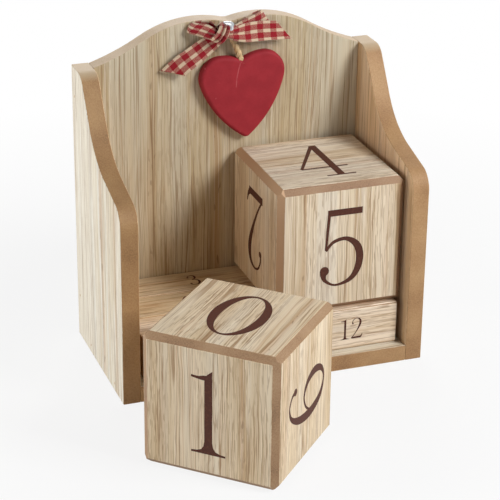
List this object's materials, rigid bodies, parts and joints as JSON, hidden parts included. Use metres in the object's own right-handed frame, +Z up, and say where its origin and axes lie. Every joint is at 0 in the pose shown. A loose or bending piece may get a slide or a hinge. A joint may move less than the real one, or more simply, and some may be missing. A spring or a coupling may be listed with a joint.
{
  "type": "desk calendar",
  "caption": "Perpetual block desk calendar: veneered wooden case with curved sides and crested back, number cubes on square month bars, and a painted heart hung under a ribbon bow.",
  "frame": {"origin": "middle of the case's footprint, on its underside", "axes": "+X to the right of someone reading the calendar, +Y to the back, +Z up"},
  "size_m": [0.1506, 0.1686, 0.1583],
  "materials": {
    "mdf": "sanded MDF edge, matt",
    "veneer": "pale straight-grained veneer, matt",
    "heart_paint": "red satin paint on MDF",
    "jute": "twisted jute",
    "ribbon": "woven red and cream gingham ribbon",
    "glue": "translucent hot-melt glue",
    "steel": "plain brad wire",
    "filler": "wood filler, sanded flush"
  },
  "bodies": {
    "case": {"back_panel": "mdf", "back_panel_front_veneer": "veneer", "back_panel_rear_veneer": "veneer", "base_panel": "mdf", "base_panel_top_veneer": "veneer", "base_panel_underside_veneer": "veneer", "bow_knot": "ribbon", "bow_left_loop": "ribbon", "bow_left_tail": "ribbon", "bow_right_loop": "ribbon", "bow_right_tail": "ribbon", "brad_filler": "filler", "brads": "steel", "glue_dot": "glue", "left_side": "mdf", "left_side_inner_veneer": "veneer", "left_side_outer_veneer": "veneer", "right_side": "mdf", "right_side_inner_veneer": "veneer", "right_side_outer_veneer": "veneer"},
    "right_cube": {"right_cube_bottom_panel": "mdf", "right_cube_bottom_veneer": "veneer", "right_cube_front_panel": "mdf", "right_cube_front_veneer": "veneer", "right_cube_left_panel": "mdf", "right_cube_left_veneer": "veneer", "right_cube_rear_panel": "mdf", "right_cube_rear_veneer": "veneer", "right_cube_right_panel": "mdf", "right_cube_right_veneer": "veneer", "right_cube_top_panel": "mdf", "right_cube_top_veneer": "veneer"},
    "loose_cube": {"loose_cube_bottom_panel": "mdf", "loose_cube_bottom_veneer": "veneer", "loose_cube_front_panel": "mdf", "loose_cube_front_veneer": "veneer", "loose_cube_left_panel": "mdf", "loose_cube_left_veneer": "veneer", "loose_cube_rear_panel": "mdf", "loose_cube_rear_veneer": "veneer", "loose_cube_right_panel": "mdf", "loose_cube_right_veneer": "veneer", "loose_cube_top_panel": "mdf", "loose_cube_top_veneer": "veneer"},
    "rear_bar": {"rear_month_bar": "mdf", "rear_month_bar_veneers": "veneer"},
    "middle_bar": {"middle_month_bar": "mdf", "middle_month_bar_veneers": "veneer"},
    "front_bar": {"front_month_bar": "mdf", "front_month_bar_veneers": "veneer"},
    "heart": {"hanger_twine": "jute", "heart": "heart_paint"}
  },
  "joints": [
    {"name": "right_cube_slide", "type": "slide", "parent": "case", "child": "right_cube", "axis": [0, -1, 0], "range_m": [0, 0.039]},
    {"name": "loose_cube_turn", "type": "hinge", "parent": "case", "child": "loose_cube", "pos_m": [-0.0359, -0.08843, 0], "axis": [0, 0, 1], "continuous": true},
    {"name": "rear_bar_slide", "type": "slide", "parent": "case", "child": "rear_bar", "axis": [0, -1, 0], "range_m": [0, 0.0038]},
    {"name": "middle_bar_slide", "type": "slide", "parent": "rear_bar", "child": "middle_bar", "axis": [0, -1, 0], "range_m": [0, 0.0038]},
    {"name": "front_bar_slide", "type": "slide", "parent": "middle_bar", "child": "front_bar", "axis": [0, -1, 0], "range_m": [0, 0.0038]},
    {"name": "heart_swing", "type": "hinge", "parent": "case", "child": "heart", "pos_m": [0.0009, 0.0273, 0.14518], "axis": [0, 1, 0], "range_deg": [-15, 15]}
  ]
}
